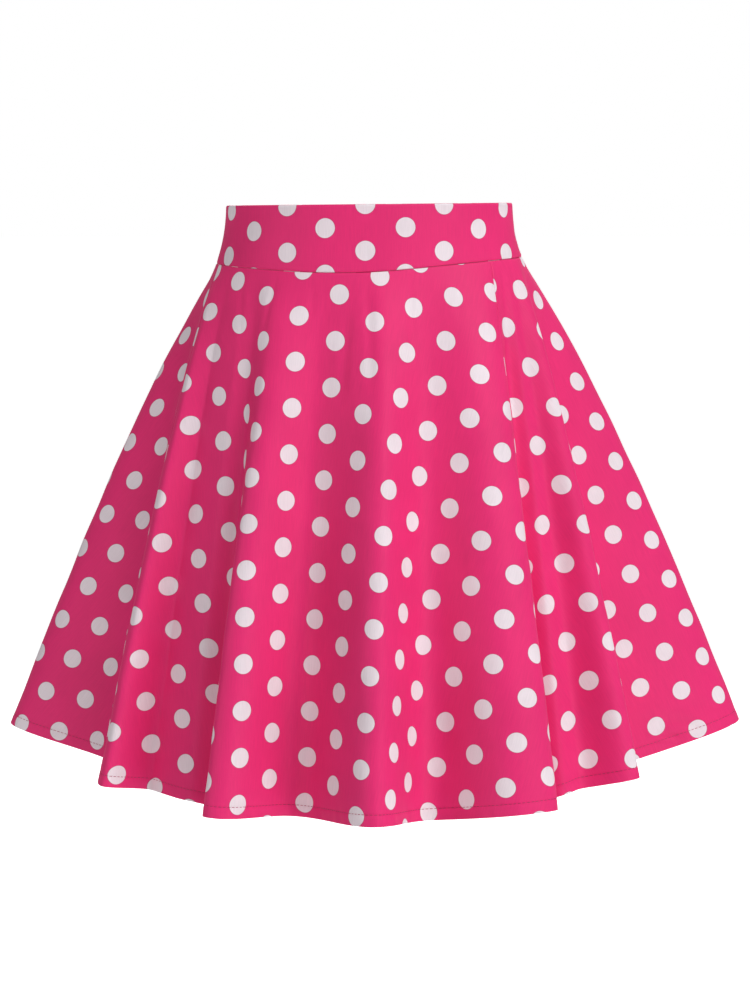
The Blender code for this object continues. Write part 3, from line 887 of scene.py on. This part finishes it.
def thread_material():
    """Polyester thread: a deeper pink with a soft shine and faint twist."""
    material = bpy.data.materials.new("sewing_thread")
    material.use_nodes = True
    tree = material.node_tree
    shader = tree.nodes["Principled BSDF"]
    place = tree.nodes.new("ShaderNodeTexCoord")
    twist = tree.nodes.new("ShaderNodeTexWave")
    twist.inputs["Scale"].default_value = 900.0
    twist.bands_direction = "DIAGONAL"
    tree.links.new(place.outputs["Object"], twist.inputs["Vector"])
    tone = mix_colour(tree, twist.outputs["Fac"], (0.34, 0.012, 0.065, 1.0), (0.46, 0.015, 0.09, 1.0))
    tree.links.new(tone, shader.inputs["Base Color"])
    shader.inputs["Roughness"].default_value = 0.5
    return material


def stitch_mesh(name, centre, normal):
    """Tubes: centres (n, steps, 3) swept by a small circle in the plane of the normal and
    the sideways direction, thin at both ends, and closed by a face at each end."""
    run = np.gradient(centre, axis=1)
    run = run / np.linalg.norm(run, axis=2, keepdims=True)
    side = np.cross(run, normal)
    side = side / np.linalg.norm(side, axis=2, keepdims=True)
    a = np.arange(THREAD_SIDES) * 2 * np.pi / THREAD_SIDES
    slim = STITCH_SLIM[None, :, None, None] * THREAD_RADIUS
    turn_a, turn_b = np.cos(a)[None, None, :, None], np.sin(a)[None, None, :, None]
    circle = turn_a * side[:, :, None] + turn_b * normal[:, :, None]
    points = centre[:, :, None] + slim * circle
    count, steps = centre.shape[:2]
    number = np.arange(count * steps * THREAD_SIDES).reshape(count, steps, THREAD_SIDES)
    turned = np.roll(number, -1, axis=2)
    quads = np.stack([number[:, :-1], number[:, 1:], turned[:, 1:], turned[:, :-1]], axis=3).reshape(-1, 4)
    ends = np.concatenate([number[:, 0], number[:, -1, ::-1]])
    mesh = bpy.data.meshes.new(name)
    mesh.from_pydata(points.reshape(-1, 3).tolist(), [], quads.tolist() + ends.tolist())
    mesh.shade_smooth()
    return mesh


thread = thread_material()
stitch_row = int(np.argmin(np.abs(ROWS_DOWN - (1.0 - HEM_STITCH / CLOTH_LENGTH))))
for panel in PANELS:
    grid, flat, shares = finished[panel["name"]]
    line, facing = grid[stitch_row], outward(grid)[stitch_row]
    along = ring_length(grid)[stitch_row]
    middles = np.arange(3.0 * MM, along[-1] - 3.0 * MM, STITCH_PITCH)
    wanted = middles[:, None] + STITCH_ALONG[None]
    centre = np.stack([np.interp(wanted, along, line[:, k]) for k in range(3)], axis=2)
    normal = np.stack([np.interp(wanted, along, facing[:, k]) for k in range(3)], axis=2)
    rise = STITCH_RISE[None, :, None]
    name = panel["name"] + "_hem_stitches"
    stitches = bpy.data.objects.new(name, stitch_mesh(name, centre + normal * rise, normal))
    bpy.context.scene.collection.objects.link(stitches)
    stitches.data.materials.append(thread)
    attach(stitches, "skirt")
    print(stitches.name, len(middles), "stitches")

# %% [markdown]
# ## Concealed zip
#
# The opening at the centre back is closed by a concealed zip: from outside only a seam
# shows, with the slider's pull tab at the top. Inside lie the woven tape and the coil.

# %% Zip tape and coil
ZIP_LENGTH = 190.0 * MM
TAPE_TOP = 4.0 * MM
TAPE_HALF_WIDTH = 12.0 * MM
TAPE_WEAVE_WALL = 0.6 * MM
TAPE_COLUMNS = 25
TAPE_MIDDLE = TAPE_COLUMNS // 2
COIL_RADIUS = 0.9 * MM
COIL_PITCH = 1.5 * MM
COIL_STEPS = 10                  # points in a turn
WIRE_RADIUS = 0.3 * MM


def tape_grid():
    """Points inside the band and the panels, up to 12 mm either side of the centre back:
    the band's rows above the waist seam, then the panels' rows, all moved in."""
    across = np.linspace(-TAPE_HALF_WIDTH, TAPE_HALF_WIDTH, TAPE_COLUMNS)
    s = np.linspace(TAPE_TOP / BAND_DEPTH, 0.97, 24)
    band = band_surface(180.0 + np.degrees(across / BAND_SEAM_HALF[0]), s)
    band = band - outward(band) * (BAND_WALL + SEAM_GAP)
    t = np.linspace(0.01, 0.33, 60)
    halves = []
    for panel, sign in ((PANELS[1], -1), (PANELS[2], 1)):
        shares = np.linspace(0.0, 0.12, 120)
        shares = 1.0 - shares[::-1] if sign < 0 else shares
        grid = skirt_surface(*panel["hem"], *panel["waist"], shares, t)
        inner = grid - outward(grid) * (CLOTH_WALL + SEAM_GAP)
        along = ring_length(grid)
        along = along - along[:, -1:] if sign < 0 else along
        wanted = across[across < 0] if sign < 0 else across[across >= 0]
        rows = [
            np.stack([np.interp(wanted, a, p[:, k]) for k in range(3)], axis=1)
            for a, p in zip(along, inner)
        ]
        halves.append(np.stack(rows))
    skirt = np.concatenate(halves, axis=1)
    skirt = skirt[skirt[:, TAPE_MIDDLE, 2] > -ZIP_LENGTH]
    return np.concatenate([band, skirt], axis=0)


tape_points = tape_grid()
down_tape = np.linalg.norm(np.diff(tape_points, axis=0), axis=2).cumsum(axis=0)
down_tape = np.concatenate([np.zeros((1, tape_points.shape[1])), down_tape])
across_tape = np.linspace(-TAPE_HALF_WIDTH, TAPE_HALF_WIDTH, TAPE_COLUMNS)
across_tape = np.broadcast_to(across_tape, down_tape.shape)
tape_flat = np.stack([across_tape, -down_tape], axis=2)


def tape_material():
    """Woven tape: the weave group with a coarser pitch, in a plain deeper pink."""
    material = bpy.data.materials.new("zip_tape_weave")
    material.use_nodes = True
    tree = material.node_tree
    shader = tree.nodes["Principled BSDF"]
    uv = tree.nodes.new("ShaderNodeUVMap")
    uv.uv_map = "flat_pattern"
    weave = group_node(tree, weave_group, uv.outputs["UV"], Pitch=0.8 * MM)
    tone = mix_colour(tree, weave.outputs["Height"], (0.46, 0.018, 0.085, 1.0), (0.62, 0.03, 0.12, 1.0))
    tree.links.new(tone, shader.inputs["Base Color"])
    bump = tree.nodes.new("ShaderNodeBump")
    bump.inputs["Distance"].default_value = 0.15 * MM
    bump.inputs["Strength"].default_value = 0.6
    tree.links.new(weave.outputs["Height"], bump.inputs["Height"])
    tree.links.new(bump.outputs[0], shader.inputs["Normal"])
    shader.inputs["Roughness"].default_value = 0.8
    return material


tape = cloth_piece("zip_tape_cloth", tape_points, tape_flat, TAPE_WEAVE_WALL, (tape_material(),), 0.2 * MM)
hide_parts("zip_tape")
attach(tape, "skirt")


def coil_mesh():
    """A helix round a line just inside the tape's middle: centre + r (cos a n + sin a side),
    swept by a small square so that some 130 turns stay light."""
    facing = outward(tape_points)[:, TAPE_MIDDLE]
    middle = tape_points[:, TAPE_MIDDLE] - facing * (TAPE_WEAVE_WALL + COIL_RADIUS * 0.8)
    length = np.concatenate([[0.0], np.linalg.norm(np.diff(middle, axis=0), axis=1).cumsum()])
    turns = int(length[-1] / COIL_PITCH)
    steps = turns * COIL_STEPS
    s = np.linspace(0.0, length[-1], steps + 1)
    line = np.stack([np.interp(s, length, middle[:, k]) for k in range(3)], axis=1)
    out = np.stack([np.interp(s, length, facing[:, k]) for k in range(3)], axis=1)
    out = out / np.linalg.norm(out, axis=1, keepdims=True)
    side = np.array([1.0, 0.0, 0.0])
    a = (2 * np.pi * np.arange(steps + 1) / COIL_STEPS)[:, None]
    helix = line + COIL_RADIUS * (0.6 * np.cos(a) * out + 1.5 * np.sin(a) * side)
    run = np.gradient(helix, axis=0)
    run = run / np.linalg.norm(run, axis=1, keepdims=True)
    spoke = helix - line
    spoke = spoke / np.linalg.norm(spoke, axis=1, keepdims=True)
    third = np.cross(run, spoke)
    b = np.arange(4) * np.pi / 2
    circle = np.cos(b)[None, :, None] * spoke[:, None] + np.sin(b)[None, :, None] * third[:, None]
    ring = helix[:, None] + WIRE_RADIUS * circle
    number = np.arange(ring.shape[0] * 4).reshape(-1, 4)
    turned = np.roll(number, -1, axis=1)
    quads = np.stack([number[:-1], turned[:-1], turned[1:], number[1:]], axis=2).reshape(-1, 4)
    ends = [number[0, ::-1].tolist(), number[-1].tolist()]
    mesh = bpy.data.meshes.new("zip_coil")
    mesh.from_pydata(ring.reshape(-1, 3).tolist(), [], quads.tolist() + ends)
    mesh.shade_smooth()
    return mesh, turns


def lacquer_material():
    """Painted metal whose tone and roughness vary in fine random specks."""
    material = bpy.data.materials.new("zip_lacquer_paint")
    material.use_nodes = True
    tree = material.node_tree
    shader = tree.nodes["Principled BSDF"]
    place = tree.nodes.new("ShaderNodeTexCoord")
    noise = tree.nodes.new("ShaderNodeTexNoise")
    noise.inputs["Scale"].default_value = 700.0
    tree.links.new(place.outputs["Object"], noise.inputs["Vector"])
    tone = mix_colour(tree, noise.outputs["Fac"], (0.50, 0.018, 0.09, 1.0), (0.66, 0.035, 0.14, 1.0))
    tree.links.new(tone, shader.inputs["Base Color"])
    rough = map_range(tree, noise.outputs["Fac"], 0.3, 0.7, 0.22, 0.4)
    tree.links.new(rough, shader.inputs["Roughness"])
    bump = tree.nodes.new("ShaderNodeBump")
    bump.inputs["Distance"].default_value = 0.02 * MM
    tree.links.new(noise.outputs["Fac"], bump.inputs["Height"])
    tree.links.new(bump.outputs[0], shader.inputs["Normal"])
    return material


lacquer = lacquer_material()
coil_data, coil_turns = coil_mesh()
coil = bpy.data.objects.new("zip_coil", coil_data)
coil.data.materials.append(lacquer)
bpy.context.scene.collection.objects.link(coil)
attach(coil, "skirt")
for node in ("zip_slider", "zip_pull_tab"):
    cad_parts[node].data.materials.clear()
    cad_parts[node].data.materials.append(lacquer)
print("coil turns", coil_turns)
